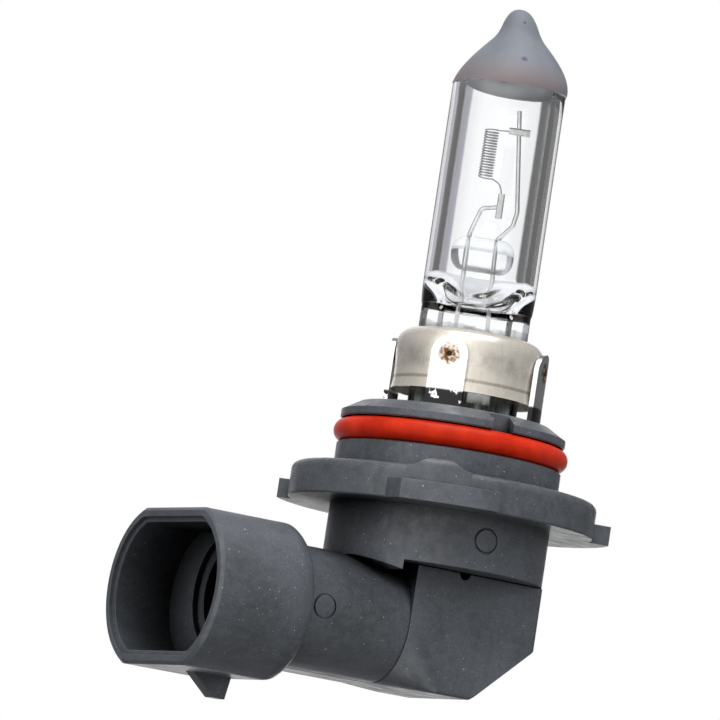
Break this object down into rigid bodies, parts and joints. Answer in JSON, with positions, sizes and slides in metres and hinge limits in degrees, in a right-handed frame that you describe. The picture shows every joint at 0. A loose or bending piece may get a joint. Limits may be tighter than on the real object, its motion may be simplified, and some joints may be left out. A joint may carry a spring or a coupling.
{
  "type": "headlight bulb",
  "caption": "Right-angle halogen headlight bulb: clear quartz capsule with a painted tip, metal collar, sealed bayonet base and a side socket for the wiring plug.",
  "frame": {"origin": "on the base axis, in the reference plane: the flat tops of the three seating pads on the flange", "axes": "+Z along the base axis towards the glass tip; -X is the way the wiring socket opens"},
  "size_m": [0.0458, 0.0323, 0.0717],
  "materials": {
    "quartz": "clear",
    "tip_paint": "satin",
    "tungsten": "dull drawn wire",
    "molybdenum": "drawn wire",
    "nickel_steel": "satin",
    "spring_steel": "bright",
    "weld_metal": "heat-tinted",
    "housing_plastic": "matte moulded",
    "seal_rubber": "lightly glossy",
    "tinned_brass": "tin-plated"
  },
  "bodies": {
    "root": {"glass_envelope": "quartz", "tip_coating": "tip_paint", "filament_coil": "tungsten", "long_support_wire": "molybdenum", "short_support_wire": "molybdenum", "upper_filament_clamp": "molybdenum", "lower_filament_clamp": "molybdenum", "bead_bridge": "quartz", "long_side_foil": "molybdenum", "short_side_foil": "molybdenum", "long_side_feed_wire": "molybdenum", "short_side_feed_wire": "molybdenum", "burner_collar": "nickel_steel", "pinch_clip": "nickel_steel", "prong_ring": "spring_steel", "weld_nuggets": "weld_metal", "base_housing": "housing_plastic", "o_ring": "seal_rubber", "elbow_cover": "housing_plastic", "near_terminal": "tinned_brass", "far_terminal": "tinned_brass"}
  },
  "joints": []
}
